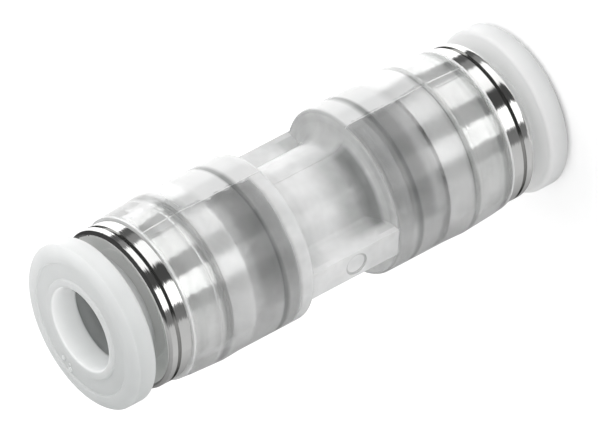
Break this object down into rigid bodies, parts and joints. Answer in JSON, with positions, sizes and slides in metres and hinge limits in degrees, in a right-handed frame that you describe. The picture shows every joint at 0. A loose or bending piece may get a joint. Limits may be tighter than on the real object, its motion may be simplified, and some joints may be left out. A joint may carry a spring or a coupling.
{
  "type": "push-in tube fitting",
  "caption": "Straight push-in fitting that joins two plastic tubes, with a clear housing, steel sleeves and release rings that push in to free the tube.",
  "frame": {"origin": "middle of the fitting, on its axis, halfway between its two ends", "axes": "+Z along the tubes towards the upper end, which is the end nearer the camera in the picture; the two flat webs lie in the XZ plane"},
  "size_m": [0.0168, 0.017, 0.0512],
  "materials": {
    "clear_polypropylene": "glossy translucent",
    "frosted_polypropylene": "frosted translucent",
    "natural_polypropylene": "milky",
    "polished_steel": "turned and polished",
    "spring_steel": "stamped, satin",
    "seal_rubber": "moulded, matt"
  },
  "bodies": {
    "housing": {"housing": "clear_polypropylene", "upper_seal_ring": "seal_rubber", "upper_support_ring": "natural_polypropylene", "upper_sleeve": "polished_steel", "lower_seal_ring": "seal_rubber", "lower_support_ring": "natural_polypropylene", "lower_sleeve": "polished_steel"},
    "upper_claws": {"upper_claw_ring": "spring_steel"},
    "upper_release": {"upper_release_ring": "frosted_polypropylene"},
    "lower_claws": {"lower_claw_ring": "spring_steel"},
    "lower_release": {"lower_release_ring": "frosted_polypropylene"}
  },
  "joints": [
    {"name": "upper_tube_turn", "type": "hinge", "parent": "housing", "child": "upper_claws", "pos_m": [0, 0, 0], "axis": [0, 0, 1], "continuous": true},
    {"name": "upper_release_push", "type": "slide", "parent": "upper_claws", "child": "upper_release", "axis": [0, 0, -1], "range_m": [0, 0.0016], "stiffness_N_per_m": 3000},
    {"name": "lower_tube_turn", "type": "hinge", "parent": "housing", "child": "lower_claws", "pos_m": [0, 0, 0], "axis": [0, 0, -1], "continuous": true},
    {"name": "lower_release_push", "type": "slide", "parent": "lower_claws", "child": "lower_release", "axis": [0, 0, 1], "range_m": [0, 0.0016], "stiffness_N_per_m": 3000}
  ]
}
